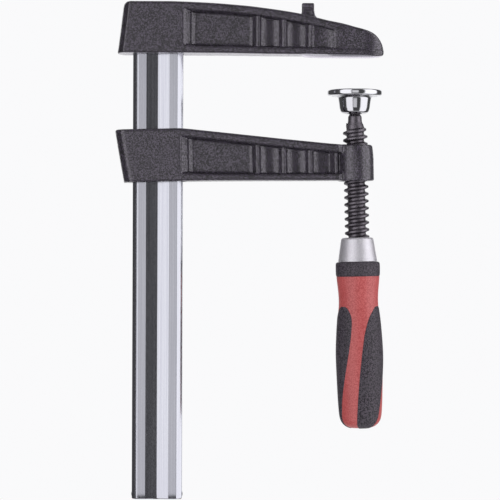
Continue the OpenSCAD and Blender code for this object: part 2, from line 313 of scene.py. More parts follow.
def sample(A, g, v):
    p = (v - g.lo) / g.h
    i = np.clip(np.floor(p).astype(int), 0, np.array(A.shape) - 2)
    f = p - i
    out = 0
    for a in (0, 1):
        for b in (0, 1):
            for c in (0, 1):
                w = (f[:, 0] if a else 1 - f[:, 0]) * (f[:, 1] if b else 1 - f[:, 1]) * (f[:, 2] if c else 1 - f[:, 2])
                out = out + w * A[i[:, 0] + a, i[:, 1] + b, i[:, 2] + c]
    return out


def field_mesh(F, g):
    v, q = surface_nets(F, g)
    G = np.gradient(F, g.h)
    for _ in range(2):
        n = np.column_stack([sample(a, g, v) for a in G])
        L = np.maximum((n * n).sum(1), 0.05)
        v = v - n * (np.clip(sample(F, g, v), -0.2, 0.2) / L)[:, None]
    n = np.column_stack([sample(a, g, v) for a in G])
    n /= np.maximum(np.linalg.norm(n, axis=1), 1e-6)[:, None]
    return v, q, n


# --------------------------------------------------------------------------
# materials
# --------------------------------------------------------------------------
class Mat:
    def __init__(self, name):
        self.m = bpy.data.materials.new(name)
        self.m.use_nodes = True
        self.t = self.m.node_tree
        self.n = self.t.nodes
        self.bsdf = next(x for x in self.n if x.type == "BSDF_PRINCIPLED")
        self.co = self.n.new("ShaderNodeTexCoord").outputs["Object"]

    def link(self, a, b):
        self.t.links.new(a, b)

    def scaled(self, s):
        """Object coordinates stretched by s = (x, y, z), in waves per metre."""
        m = self.n.new("ShaderNodeMapping")
        m.inputs["Scale"].default_value = s
        self.link(self.co, m.inputs["Vector"])
        return m.outputs["Vector"]

    def noise(self, vec, detail=4, rough=0.55, scale=1.0, w=None):
        x = self.n.new("ShaderNodeTexNoise")
        x.inputs["Scale"].default_value = scale
        x.inputs["Detail"].default_value = detail
        x.inputs["Roughness"].default_value = rough
        self.link(vec, x.inputs["Vector"])
        return x.outputs["Fac"]

    def voronoi(self, vec, scale=1.0, feature="F1", smooth=None):
        x = self.n.new("ShaderNodeTexVoronoi")
        x.feature = feature
        x.inputs["Scale"].default_value = scale
        self.link(vec, x.inputs["Vector"])
        return x.outputs["Distance"]

    def ramp(self, fac, stops, smooth=True):
        x = self.n.new("ShaderNodeMapRange")
        x.interpolation_type = "SMOOTHSTEP" if smooth else "LINEAR"
        (a, va), (b, vb) = stops
        x.inputs["From Min"].default_value = a
        x.inputs["From Max"].default_value = b
        x.inputs["To Min"].default_value = va
        x.inputs["To Max"].default_value = vb
        self.link(fac, x.inputs["Value"])
        return x.outputs["Result"]

    def math(self, op, a, b=None, c=None):
        x = self.n.new("ShaderNodeMath")
        x.operation = op
        for i, k in enumerate((a, b, c)):
            if k is None:
                continue
            if isinstance(k, (int, float)):
                x.inputs[i].default_value = k
            else:
                self.link(k, x.inputs[i])
        return x.outputs[0]

    def mix(self, fac, a, b):
        x = self.n.new("ShaderNodeMix")
        x.data_type = "RGBA"
        for sock, k in ((x.inputs[6], a), (x.inputs[7], b)):
            if isinstance(k, tuple):
                sock.default_value = (*k, 1.0) if len(k) == 3 else k
            else:
                self.link(k, sock)
        if isinstance(fac, (int, float)):
            x.inputs[0].default_value = fac
        else:
            self.link(fac, x.inputs[0])
        return x.outputs[2]

    def xyz(self):
        x = self.n.new("ShaderNodeSeparateXYZ")
        self.link(self.co, x.inputs[0])
        return x.outputs

    def bump(self, height, dist, strength=1.0, normal=None):
        x = self.n.new("ShaderNodeBump")
        x.inputs["Distance"].default_value = dist
        x.inputs["Strength"].default_value = strength
        self.link(height, x.inputs["Height"])
        if normal is not None:
            self.link(normal, x.inputs["Normal"])
        return x.outputs["Normal"]

    def set(self, **kw):
        for k, v in kw.items():
            s = self.bsdf.inputs[k.replace("_", " ")]
            if isinstance(v, (int, float)):
                s.default_value = v
            elif isinstance(v, tuple):
                s.default_value = (*v, 1.0) if len(v) == 3 else v
            else:
                self.link(v, s)
        return self


def cast_iron():
    m = Mat("coated_iron")
    fine = m.noise(m.scaled((1, 1, 1)), 2, 0.6, 1050)
    mid = m.noise(m.scaled((1, 1, 1)), 4, 0.6, 380)
    slow = m.noise(m.scaled((1, 1, 1)), 3, 0.5, 45)
    grain = m.math("MULTIPLY_ADD", mid, 0.2, m.math("MULTIPLY", fine, 0.8))
    # powder coat over the sand-cast skin: speckled dark grey, faintly violet
    c = m.mix(m.ramp(grain, ((0.47, 0.0), (0.55, 1.0))), (0.000, 0.000, 0.000), (0.058, 0.048, 0.068))
    c = m.mix(m.ramp(slow, ((0.35, 0.0), (0.7, 0.20))), c, (0.020, 0.017, 0.024))
    # rubbed edges show a little paler
    geo = m.n.new("ShaderNodeNewGeometry")
    edge = m.ramp(geo.outputs["Pointiness"], ((0.53, 0.0), (0.60, 1.0)))
    edge = m.math("MULTIPLY", edge, m.ramp(mid, ((0.42, 0.1), (0.62, 0.6))))
    c = m.mix(edge, c, (0.09, 0.085, 0.095))
    # the fixed arm's clamping face is ground bare steel; the rest of its underside gets 0.46 of that steel as painted
    # sheen, standing in for the coat's grazing reflection
    x, y, z = m.xyz()
    nz = m.n.new("ShaderNodeSeparateXYZ")
    m.link(geo.outputs["Normal"], nz.inputs[0])
    down = m.ramp(nz.outputs["Z"], ((-0.93, 1.0), (-0.82, 0.0)))
    low = m.ramp(z, ((0.0022, 1.0), (0.0028, 0.0)))
    high = m.ramp(z, ((-0.004, 0.0), (-0.002, 1.0)))
    # the 0.46 share beyond the clamping face is painted sheen, not ground metal; 1.0 on the face itself is the real
    # ground steel
    face_and_sheen_share = m.ramp(x, ((-0.0385, 0.46), (-0.0355, 1.0)))
    ground_and_sheen_mask = m.math("MULTIPLY", m.math("MULTIPLY", low, high), m.math("MULTIPLY", down, face_and_sheen_share))
    ground_and_sheen_mask = m.math("MULTIPLY", ground_and_sheen_mask, m.ramp(mid, ((0.25, 0.8), (0.42, 1.0))))
    lines = m.noise(m.scaled((60, 2600, 60)), 3, 0.6, 1.0)
    steel_and_sheen_colour = m.mix(lines, (0.37, 0.36, 0.39), (0.50, 0.49, 0.53))
    col = m.mix(ground_and_sheen_mask, c, steel_and_sheen_colour)
    rough = m.math("MULTIPLY_ADD", ground_and_sheen_mask, -0.10, m.ramp(grain, ((0.44, 0.42), (0.56, 0.14))))
    h = m.math("MULTIPLY_ADD", fine, 0.75, m.math("MULTIPLY", mid, 0.8))
    h = m.math("MULTIPLY", h, m.math("SUBTRACT", 1.0, m.math("MULTIPLY", ground_and_sheen_mask, 0.9)))
    m.set(Base_Color=col, Roughness=rough, Metallic=m.math("MULTIPLY", ground_and_sheen_mask, 0.95),
          Normal=m.bump(h, 0.0002, 0.8))
    m.bsdf.inputs["Specular IOR Level"].default_value = 0.78
    m.bsdf.inputs["Specular Tint"].default_value = (0.97, 0.92, 1.0, 1.0)
    return m.m


def rail_steel():
    m = Mat("rail_steel")
    draw = m.noise(m.scaled((2600, 2600, 7)), 4, 0.62, 1.0)
    fine = m.noise(m.scaled((900, 900, 500)), 3, 0.6, 1.0)
    slow = m.noise(m.scaled((25, 25, 9)), 3, 0.5, 1.0)
    c = m.mix(m.ramp(draw, ((0.35, 0), (0.65, 1))), (0.345, 0.345, 0.385), (0.405, 0.405, 0.445))
    c = m.mix(m.ramp(slow, ((0.4, 0.0), (0.7, 0.35))), c, (0.34, 0.335, 0.38))
    rough = m.math("ADD", m.ramp(draw, ((0.3, 0.13), (0.7, 0.19))), m.ramp(fine, ((0.35, -0.01), (0.65, 0.03))))
    h = m.math("MULTIPLY_ADD", fine, 0.35, draw)
    m.set(Base_Color=c, Metallic=1.0, Roughness=rough, Normal=m.bump(h, 0.000012, 0.5))
    return m.m


def blackened_steel():
    m = Mat("blackened_steel")
    a = m.noise(m.scaled((1, 1, 1)), 4, 0.6, 700)
    b = m.noise(m.scaled((1, 1, 1)), 4, 0.55, 160)
    geo = m.n.new("ShaderNodeNewGeometry")
    edge = m.ramp(geo.outputs["Pointiness"], ((0.52, 0.0), (0.60, 1.0)))
    c = m.mix(m.ramp(b, ((0.35, 0), (0.65, 1))), (0.075, 0.066, 0.078), (0.150, 0.135, 0.155))
    c = m.mix(m.math("MULTIPLY", edge, m.ramp(a, ((0.4, 0.2), (0.6, 0.9)))), c, (0.30, 0.28, 0.31))
    m.set(Base_Color=c, Metallic=0.85, Roughness=m.ramp(b, ((0.3, 0.34), (0.7, 0.48))),
          Normal=m.bump(m.math("MULTIPLY_ADD", a, 0.5, b), 0.00010, 0.5))
    return m.m


def bright_plating():
    m = Mat("bright_plating")
    a = m.noise(m.scaled((1, 1, 1)), 3, 0.5, 60)
    b = m.noise(m.scaled((1, 1, 1)), 3, 0.6, 900)
    c = m.mix(a, (0.37, 0.365, 0.39), (0.45, 0.445, 0.47))
    m.set(Base_Color=c, Metallic=1.0, Roughness=m.ramp(b, ((0.35, 0.075), (0.7, 0.13))),
          Normal=m.bump(a, 0.0002, 0.12))
    return m.m


def pad_top():
    """Plated plate with the turning marks of its flat face."""
    m = Mat("bright_plating_plate")
    x, y, z = m.xyz()
    r = m.math("SQRT", m.math("ADD", m.math("MULTIPLY", x, x), m.math("MULTIPLY", y, y)))
    rings = m.n.new("ShaderNodeTexNoise")
    rings.noise_dimensions = "1D"
    rings.inputs["Scale"].default_value = 2600
    rings.inputs["Detail"].default_value = 3
    m.link(r, rings.inputs["W"])
    flat = m.ramp(z, ((-0.02275, 0.0), (-0.02262, 1.0)))
    a = m.noise(m.scaled((1, 1, 1)), 3, 0.5, 60)
    c = m.mix(a, (0.43, 0.425, 0.45), (0.51, 0.505, 0.53))
    rough = m.math("MULTIPLY_ADD", flat, 0.16, 0.09)
    m.set(Base_Color=c, Metallic=1.0, Roughness=rough,
          Normal=m.bump(m.math("MULTIPLY", rings.outputs["Fac"], flat), 0.00005, 0.6))
    return m.m


def satin_steel():
    m = Mat("satin_steel")
    a = m.noise(m.scaled((1, 1, 1)), 3, 0.65, 2200)
    b = m.noise(m.scaled((1, 1, 1)), 4, 0.5, 150)
    c = m.mix(m.ramp(a, ((0.35, 0), (0.65, 1))), (0.47, 0.45, 0.49), (0.66, 0.64, 0.68))
    c = m.mix(m.ramp(b, ((0.4, 0), (0.7, 0.3))), c, (0.50, 0.48, 0.52))
    m.set(Base_Color=c, Metallic=0.75, Roughness=m.ramp(a, ((0.3, 0.42), (0.7, 0.56))),
          Normal=m.bump(a, 0.00010, 0.7))
    return m.m


def red_plastic():
    m = Mat("red_plastic")
    a = m.noise(m.scaled((1, 1, 1)), 2, 0.6, 1100)
    b = m.noise(m.scaled((1, 1, 1)), 3, 0.5, 60)
    c = m.mix(m.ramp(a, ((0.35, 0), (0.65, 1))), (0.36, 0.048, 0.048), (0.50, 0.105, 0.105))
    c = m.mix(m.ramp(b, ((0.4, 0), (0.75, 0.25))), c, (0.38, 0.058, 0.056))
    m.set(Base_Color=c, Roughness=m.ramp(a, ((0.3, 0.42), (0.7, 0.54))),
          Normal=m.bump(a, 0.00010, 0.55))
    m.bsdf.inputs["Subsurface Weight"].default_value = 0.0
    return m.m


def soft_grip():
    m = Mat("soft_grip")
    a = m.noise(m.scaled((1, 1, 1)), 2, 0.6, 1100)
    v = m.voronoi(m.scaled((1, 1, 1)), 1500)
    b = m.noise(m.scaled((1, 1, 1)), 3, 0.5, 70)
    c = m.mix(m.ramp(a, ((0.40, 0), (0.60, 1))), (0.008, 0.005, 0.009), (0.078, 0.064, 0.082))
    c = m.mix(m.ramp(b, ((0.4, 0), (0.75, 0.3))), c, (0.05, 0.046, 0.052))
    m.set(Base_Color=c, Roughness=m.ramp(a, ((0.3, 0.58), (0.7, 0.72))),
          Normal=m.bump(m.math("MULTIPLY_ADD", v, 0.5, a), 0.00016, 0.6))
    m.bsdf.inputs["Specular IOR Level"].default_value = 0.35
    return m.m


def pin_steel():
    m = Mat("pin_steel")
    a = m.noise(m.scaled((1, 1, 1)), 4, 0.6, 900)
    c = m.mix(a, (0.22, 0.21, 0.22), (0.40, 0.39, 0.41))
    m.set(Base_Color=c, Metallic=1.0, Roughness=m.ramp(a, ((0.3, 0.28), (0.7, 0.45))),
          Normal=m.bump(a, 0.00006, 0.5))
    return m.m


def spring_steel():
    m = Mat("spring_steel")
    a = m.noise(m.scaled((1, 1, 1)), 4, 0.6, 1100)
    b = m.noise(m.scaled((1, 1, 1)), 3, 0.5, 160)
    c = m.mix(m.ramp(a, ((0.35, 0.0), (0.65, 1.0))), (0.40, 0.39, 0.41), (0.56, 0.55, 0.57))
    c = m.mix(m.ramp(b, ((0.45, 0.0), (0.75, 0.5))), c, (0.34, 0.30, 0.27))
    m.set(Base_Color=c, Metallic=1.0, Roughness=m.ramp(a, ((0.3, 0.24), (0.7, 0.38))),
          Normal=m.bump(a, 0.00004, 0.5))
    return m.m


M_SPRING = spring_steel()
M_IRON, M_RAIL, M_BLACK = cast_iron(), rail_steel(), blackened_steel()
M_CHROME, M_PLATE, M_SATIN = bright_plating(), pad_top(), satin_steel()
M_RED, M_SOFT, M_PIN = red_plastic(), soft_grip(), pin_steel()


# --------------------------------------------------------------------------
# the two castings
# --------------------------------------------------------------------------
BED = [(0, 3), (0.25, 63), (1.4, 63), (1.75, 46), (5.8, 21), (9.7, 8), (10.3, -8.5), (14.1, -33), (14.5, -50),
       (15.7, -50), (16.2, -33), (17.6, -8.5), (18.4, 0)]
# the one by the boss: a long dark bed, then a steep narrow ridge
LAST_BED = [(0, 3), (0.25, 63), (1.4, 63), (1.75, 46), (5.6, 21), (7.5, 14), (12.2, 13), (12.6, -45), (13.2, -62),
            (16.2, -62), (16.5, -33), (17.6, -8.5), (18.2, 0)]


def flute(keys, p, crest, valley, after):
    """One flute from crest to crest: a sharp drop, a wide concave bed, then a
    slower climb over a rounded crest. Returns (x, y) from the left crest."""
    kx = np.array([k[0] for k in keys]) * p / keys[-1][0]
    ka = np.array([k[1] for k in keys])
    x = np.linspace(0, p, 92)
    t = np.tan(np.radians(np.interp((x[1:] + x[:-1]) / 2, kx, ka)))
    dx = p / 91
    down, up = t[t > 0].sum() * dx, -t[t < 0].sum() * dx
    t = np.where(t > 0, t * (crest - valley) / down, t * (after - valley) / up)
    y = crest - np.concatenate([[0], np.cumsum(t) * dx])
    return x, y


def pocket_plan(x0, x1, crests, valleys, web=4.5, last=None):
    """Plan view of what a pocket removes on one side, with rounded flutes."""
    crest = crests[0]
    pts = [(x0, 14.2, 0), (x0 + 0.3, 12.7, 0.2), (x0 + 4.6, 8.7, 0.25), (x0 + 5.2, 6.2, 0.25),
           (x0 + 8.1, web, 0.8), (FLUTE_0 - 6.2, web, 1.2), (FLUTE_0 - 4.2, web + 1.0, 0.6),
           (FLUTE_0 - 2.2, crest - 0.7, 0.5), (FLUTE_0 - 1.2, crest - 0.1, 0.6), (FLUTE_0, crest, 0)]
    out = fillet(pts)[:-1]
    x = FLUTE_0
    for i, v in enumerate(valleys):
        end = last is not None and i == len(valleys) - 1
        w = last if end else FLUTE_P
        fx, fy = flute(LAST_BED if end else BED, w, crests[i], v, crests[i + 1])
        out += list(zip(x + fx, fy))[: -1]
        x += w
    if last is None:
        out += [(x, crests[-1]), (x1, crests[-1] + 0.3), (x1 + 0.2, 30)]
    else:
        out += [(x, crests[-1]), (x + 0.5, crests[-1] - 1.6), (x + 1.6, 5.2), (x1, 5.0), (x1 + 0.2, 30)]
    return out


def head_plan(xl, h, r1, r2):
    """Half of a rounded head end: a slow curve, then a quicker one into the side."""
    a = math.radians(135)
    c1 = (xl + r1, h - r2 - (r1 - r2) * math.sin(a))
    c2 = (c1[0] + (r1 - r2) * math.cos(a), c1[1] + (r1 - r2) * math.sin(a))
    return arc(*c1, r1, 180, 135, 14)[:-1] + arc(*c2, r2, 135, 90, 8)


def fixed_arm():
    g = Grid((-168.13, -15.71, -3.19), (23.6, 15.7, 41), 0.5)
    nose = spline([(-117.6, 37.75), (-106.5, 37.3), (-95.4, 36.7), (-84.3, 35.85), (-73.1, 34.87),
                   (-62, 33.5), (-50.9, 32.0), (-39.7, 30.15), (-30, 28.0), (-20, 25.55), (-12.5, 24.1),
                   (-6.3, 22.75), (0, 21.0), (5.2, 19.7), (9.4, 18.3), (12.6, 16.75), (15.2, 14.7), (17.2, 12.3),
                   (18.9, 9.3), (19.8, 6.2), (20.15, 3.6)], 5)
    side = [(-166.15, 2.1), (-164.15, 17.5)] + fillet(
        [(-164.15, 17.5, 0), (-161.7, 38.05, 4.4), (-128, 38.05, 0)], step=0.3) + nose
    side += [(20.1, 2.4), (19.5, 1.5), (18.3, 0.95), (15, 0.4), (11, 0.05), (9, 0.0), (-23, 0.0), (-27, 0.06),
             (-32, 0.35), (-35.2, 0.75), (-36.8, 1.35), (-38.2, 1.5), (-60, 1.6), (-85, 1.95), (-118, 2.1)]
    end = head_plan(-166.6, 13, 16.0, 1.2)
    plan = (end + [(-124, 13)]
            + [(4 + 17.6 * math.cos(math.radians(a)), 9.6 * math.sin(math.radians(a))) for a in np.arange(90, -90.1, -5)]
            + [(-124, -13)] + [(x, -y) for x, y in end[::-1]])
    S_side = g.xz(side)
    S_plan = g.lean(g.xy(plan), (2.1, 17.5, 38.05), (0, 2.0, 4.45), -150, -128)
    # the nose's flank lies a little behind the lower lip
    inset = 0.75 * np.clip((g.X + 16) / 12, 0, 1) ** 2 * (3 - 2 * np.clip((g.X + 16) / 12, 0, 1))
    lip = r_and(S_side, S_plan, 1.5)
    lip = np.maximum(lip, g.Z - 4.9)
    A = np.minimum(r_and(S_side, S_plan + inset, 1.7), lip)
    # bevels of the crowned clamping face
    k = math.radians(25)
    bev = (np.abs(g.Y) - 6.0) * math.sin(k) - g.Z * math.cos(k)
    ramp_x = np.clip((g.X + 39.5) / 2.0, 0, 1)
    bev = bev * ramp_x + (-2.0) * (1 - ramp_x)
    A = r_and(A, bev.astype(np.float32), 0.5)
    # pockets
    pz = fillet([(-123.0, 8.2, 2.5), (-123.0, 33.6, 3.5), (-112.5, 32.2, 0), (-90, 31.0, 0), (-72.1, 29.4, 0),
                 (-55, 27.2, 0), (-38.7, 24.4, 0), (-20, 20.7, 0), (-7.3, 17.2, 3), (-1, 14.5, 3),
                 (1.5, 11.0, 3), (1.0, 5.0, 1.8), (-7.3, 5.1, 0), (-38.7, 5.6, 0), (-100, 6.6, 0), (-112.5, 7.0, 0)],
                closed=True)
    P = r_and(g.xz(pz) + 0.16 * (13 - np.abs(g.Y)), g.xy(pocket_plan(-119.5, -7.0, (9.4, 9.2, 8.9, 9.7), (4.7, 4.7, 7.3)), mirror=True), 1.1)
    A = r_sub(A, P, 0.8)
    # lug on the back of the arm, with fillets into it
    bx = r_and(r_and(np.abs(g.X + 32.92) - 4.19, np.abs(g.Y) - 4.2, 0.7),
               np.maximum(g.Z - 37.85, 24 - g.Z), 0.7)
    groove = 0.45 * np.exp(-((g.Z - 33.6) / 0.55) ** 2) * (np.abs(g.Y) > 3.2)
    A = r_or(A, bx + groove, 2.2)
    web = r_and(r_and(np.sqrt((g.X + 21.6) ** 2 + (g.Z - 32.6) ** 2) * -1 + 7.1, np.abs(g.Y) - 4.2, 0.4),
                np.maximum(np.maximum(-30.5 - g.X, g.X + 21.6), np.maximum(22 - g.Z, g.Z - 32.4)), 0.2)
    A = r_or(A, web.astype(np.float32), 0.8)
    # socket for the rail, and counterbores over the pins on the far side
    slot = g.xy([(RAIL_X + a, b) for a, b in rail_outline(0.18)])
    A = r_sub(A, slot + 0 * g.Z, 0.35)
    for z in (12.0, 27.0):
        cyl = np.maximum(np.sqrt((g.X - RAIL_X) ** 2 + (g.Z - z) ** 2) - 2.75, 12.2 - g.Y)
        A = r_sub(A, cyl.astype(np.float32), 0.5)
    # faint parting line along the back and round the nose
    A = A - 0.22 * np.exp(-(g.Y / 0.55) ** 2) * (g.Z > 3)
    return field_mesh(A.astype(np.float32), g)


def rail_outline(grow=0.0):
    w, t = 17.5 + grow, 5.5 + grow
    # each long edge falls away in a flat curve, 27 to 52 degrees off the face
    r = 11.7
    cx, cy = -w + r * math.sin(math.radians(52)), -t + r * math.cos(math.radians(27))
    edge = [(cx - r * math.sin(math.radians(a)), cy - r * math.cos(math.radians(a)), 0) for a in (52, 45, 39, 33, 27)]
    edge[0], edge[-1] = (*edge[0][:2], 0.7), (*edge[-1][:2], 0.7)
    left = edge + [(-8.1, -t, 1.6), (0, -t + 1.9, 0.8)]
    half = left + [(-x, y, q) for x, y, q in left[:-1][::-1]]
    pts = half + [(-x, -y, q) for x, y, q in half]
    return fillet(pts, closed=True, step=0.12)


def sliding_arm():
    g = Grid((-169.63, -16.21, -93.19), (15.6, 16.2, -47), 0.5)
    side = [(-161.7, -87.5), (-164.85, -67.6)] + fillet(
        [(-164.85, -67.6, 0), (-167.3, -50.65, 1.4), (-153.8, -50.6, 0)], step=0.3) + [
        (-121.4, -50.65), (-116.9, -51.0), (-83.6, -55.1), (-50.3, -59.25), (-17, -63.15), (-6, -64.2), (0.75, -64.4),
        (0.75, -89.2), (-9, -88.95), (-33.7, -88.6), (-67.5, -88.0), (-101, -87.5), (-122, -87.45)]
    end = head_plan(-168.1, 13.5, 15.0, 5.5)
    plan = (end + [(-123, 13.5), (-11.5, 10.1), (-8.5, 8.2), (2, 8.0), (2, -8.0),
            (-8.5, -8.2), (-11.5, -10.1), (-123, -13.5)] + [(x, -y) for x, y in end[::-1]])
    S_plan = g.lean(g.xy(plan), (-87.5, -67.6, -50.65), (5.6, 2.45, 0), -150, -128)
    A = r_and(g.xz(side), S_plan, 1.6)
    pz = fillet([(-123.0, -55.9, 3.0), (-114, -56.7, 0), (-71, -61.9, 0), (-37, -66.0, 0), (-2.0, -69.7, 1.6),
                 (-2.0, -85.0, 1.6), (-37, -84.6, 0), (-74, -83.9, 0), (-108, -82.9, 0), (-123.0, -81.7, 2.2)], closed=True)
    P = r_and(g.xz(pz) + 0.16 * (13 - np.abs(g.Y)), g.xy(pocket_plan(-121.1, -2.0, (9.4, 9.0, 8.5, 7.9), (4.6, 4.4, 4.0), last=18.2), mirror=True), 1.1)
    A = r_sub(A, P, 0.8)
    boss = r_and(np.sqrt((g.X - ARM_X) ** 2 + g.Y ** 2) - 12.55 + 0.9 * np.clip((g.Z + 76) / 12, 0, 1) ** 2,
                 np.maximum(g.Z + 64.3, -89.5 - g.Z), 1.3)
    A = r_or(A, boss.astype(np.float32), 1.2)
    win = np.maximum(np.abs(g.X - RAIL_X) - 18.25, np.abs(g.Y) - 6.0)
    A = r_sub(A, win + 0 * g.Z, 0.7)
    bore = np.sqrt((g.X - ARM_X) ** 2 + g.Y ** 2) - 8.45
    A = r_sub(A, bore + 0 * g.Z, 0.8)
    A = A - 0.22 * np.exp(-(g.Y / 0.55) ** 2) * ((g.X < -160) | (g.Z > -64) & (g.X < -12))
    return field_mesh(A.astype(np.float32), g)


v, q, n = fixed_arm()
ob = add_mesh("fixed_arm_casting", v, q, mat=M_IRON, normals=n)
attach(ob, "rail_and_fixed_arm")
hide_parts("fixed_arm")

v, q, n = sliding_arm()
nn = np.column_stack([n[:, 0] * C - n[:, 2] * S, n[:, 1], n[:, 0] * S + n[:, 2] * C])
ob = add_mesh("sliding_arm_casting", v, q, place=leaned, mat=M_IRON, normals=nn)
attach(ob, "sliding_arm")
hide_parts("sliding_arm")


# --------------------------------------------------------------------------
# rail
# --------------------------------------------------------------------------
def rail():
    out = np.array(rail_outline(), float)
    n = len(out)
    # inset rings at both ends break the edges; long faces are cut every 40 mm
    z0, z1 = -309.0, 36.6
    stations = [(z0, -0.9), (z0 + 0.18, -0.45), (z0 + 0.5, -0.15), (z0 + 1.0, 0.0)]
    stations += [(z, 0.0) for z in np.linspace(z0 + 6, z1 - 2, 12)]
    stations += [(z1 - 0.6, 0.0), (z1 - 0.15, -0.2), (z1, -0.6)]
    nxt, prv = np.roll(out, -1, 0), np.roll(out, 1, 0)
    t = nxt - prv
    t /= np.linalg.norm(t, axis=1)[:, None]
    nrm = np.column_stack([t[:, 1], -t[:, 0]])
    v, faces = [], []
    for z, off in stations:
        p = out + nrm * off
        v.append(np.column_stack([p[:, 0] + RAIL_X, p[:, 1], np.full(n, z)]))
    for k in range(len(stations) - 1):
        for i in range(n):
            j = (i + 1) % n
            faces.append((k * n + i, k * n + j, (k + 1) * n + j, (k + 1) * n + i))
    faces.append(tuple(range(n))[::-1])
    top = (len(stations) - 1) * n
    faces.append(tuple(range(top, top + n)))
    return np.vstack(v), faces


v, f = rail()
ob = add_mesh("rail_bar", v, f, mat=M_RAIL, sharp=50)
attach(ob, "rail_and_fixed_arm")
# staked burrs at the rail's lower end: small squashed swellings, not balls
for k, s in enumerate((-1, 1)):
    prof = [(0, 0.95), (0.5, 0.9), (1.0, 0.72), (1.5, 0.38), (2.0, 0.08), (2.3, -0.3), (2.2, -1.0), (0, -1.0)]
    v, f = lathe(prof, 40)
    v = np.column_stack([v[:, 2] * s * 0.5 + RAIL_X + s * 17.5, v[:, 1] * 0.8, v[:, 0] * 1.05 - 309 + 3.4])
    if s > 0:
        f = [tuple(reversed(x)) for x in f]
    b = add_mesh("rail_stake_%d" % (k + 1), v, f, mat=M_RAIL, sharp=60)
    b.parent = ob
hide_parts("rail")

# pins: domed, slightly mushroomed ends that fill their counterbores
pv, pf, base = [], [], 0
for z in (12.0, 27.0):
    prof = [(0, 12.75), (1.2, 12.7), (2.0, 12.55), (2.45, 12.25), (2.5, 11.8), (2.5, -8.9), (2.1, -9.2), (0, -9.2)]
    v, f = lathe(prof, 48)
    v = np.column_stack([v[:, 0] + RAIL_X, v[:, 2], v[:, 1] + z])
    f = [tuple(i + base for i in reversed(x)) for x in f]
    base += len(v)
    pv.append(v)
    pf += f
ob = add_mesh("arm_pins", np.vstack(pv), pf, mat=M_PIN, sharp=50)
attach(ob, "rail_and_fixed_arm")
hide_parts("fixed_arm_pins")


# --------------------------------------------------------------------------
# screw
# --------------------------------------------------------------------------
def screw():
    steps = 60                                   # round one turn
    s0, s1 = 14.6, 95.6
    N = int((s1 - s0) / PITCH * steps)
    root, crest = 6.15, 8.6
    # one pitch of the thread: axial place from 0 to 1 and height 0 to 1
    prof = fillet([(0.0, 0.0, 0), (0.13, 0.0, 0.05), (0.17, 0.03, 0.05)], step=1)
    ph = [0.0, 0.11, 0.155, 0.19, 0.30, 0.335, 0.375, 0.42, 0.50, 0.58, 0.625, 0.665, 0.70, 0.81, 0.845, 0.89]
    hh = [0.0, 0.0, 0.035, 0.13, 0.62, 0.82, 0.95, 1.0, 1.0, 1.0, 0.95, 0.82, 0.62, 0.13, 0.035, 0.0]
    P = len(ph)
    v = np.zeros((N + 1, P, 3))
    rng = np.random.RandomState(4)
    wear = rng.rand(N + 1 + steps)
    for i in range(N + 1):
        a = math.pi - 2 * math.pi * i / steps
        k = min(1.0, i / (steps * 0.9), (N - i) / 10.0)
        k = max(0.0, k) ** 0.7
        for j in range(P):
            s = s0 + (i / steps + ph[j] - 0.5) * PITCH
            r = root + (crest - root) * hh[j] * k
            if k < 1e-3:
                r = root - 0.05
            v[i, j] = (r * math.cos(a), r * math.sin(a), -s)
    v = v.reshape(-1, 3)
    faces = []
    for i in range(N):
        for j in range(P - 1):
            a = i * P + j
            faces.append((a, a + P, a + P + 1, a + 1))
        if i + steps < N:
            a, b = i * P + P - 1, (i + steps) * P
            faces.append((a, a + P, b + P, b))
    # core, neck and ball as one turned shape
    ball = [(6.0 * math.sin(math.radians(t)), 6.0 * math.cos(math.radians(t))) for t in np.linspace(0, 140, 25)]
    neck = [(3.82, -5.2), (3.8, -6.4), (3.95, -6.9), (4.4, -7.5), (4.7, -8.1), (4.78, -9.2), (4.8, -10.6), (4.95, -11.6), (5.2, -12.5),
            (5.6, -13.4), (5.95, -14.2), (6.12, -15.0), (6.13, -16.0), (6.13, -94.4), (5.6, -95.0), (5.6, -98), (5.6, -157), (4.6, -158), (0, -158)]
    cv, cf = lathe(ball + neck, 64)
    b = len(v)
    faces += [tuple(i + b for i in reversed(x)) for x in cf]
    return np.vstack([v, cv]), faces


v, f = screw()
ob = add_mesh("screw_spindle", v, f, place=on_screw, mat=M_BLACK, sharp=75)
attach(ob, "screw_and_handle")
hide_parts("spindle")

# --------------------------------------------------------------------------
# pressure pad (built level)
# --------------------------------------------------------------------------
R = 19.2
lo, hi = 6.35, 10.55
rim = arc(R - 1.4, hi - 1.4, 1.4, 90, 0, 14) + arc(R - 1.5, lo + 1.5, 1.5, 0, -90, 14)
plate = [(0, hi)] + [(r, hi) for r in (3, 6, 9, 12, 14.5, 16.0)] + rim + [
    (16.9, lo), (16.1, lo + 0.05), (15.8, lo + 0.3), (15.7, 7.4), (15.7, 8.1), (0, 8.1)]
v, f = lathe(plate, 160)
ob = add_mesh("pad_plate", v, [tuple(reversed(x)) for x in f], place=on_pad, mat=M_PLATE, sharp=70)
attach(ob, "pressure_pad")
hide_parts("pressure_plate")

outer = fillet([(5.25, -5.9, 0), (7.4, -6.05, 0.5), (9.7, -5.1, 2.4), (10.6, -2.2, 3.0), (11.1, 1.8, 0), (11.6, 5.0, 1.4),
                (13.2, 6.2, 1.0), (15.45, 6.45, 0.3), (15.45, 8.0, 0)], step=0.15)
inner = [(7.85 * math.cos(math.radians(a)), 7.85 * math.sin(math.radians(a))) for a in np.linspace(78, -48.6, 30)]
prof = [(0, 8.0)] + outer[::-1] + [(5.15, -5.7)] + inner[::-1] + [(0, 7.85)]
v, f = lathe(prof, 160)
ob = add_mesh("pad_socket_cup", v, [tuple(reversed(x)) for x in f], place=on_pad, mat=M_CHROME, sharp=60)
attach(ob, "pressure_pad")
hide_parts("pad_socket")

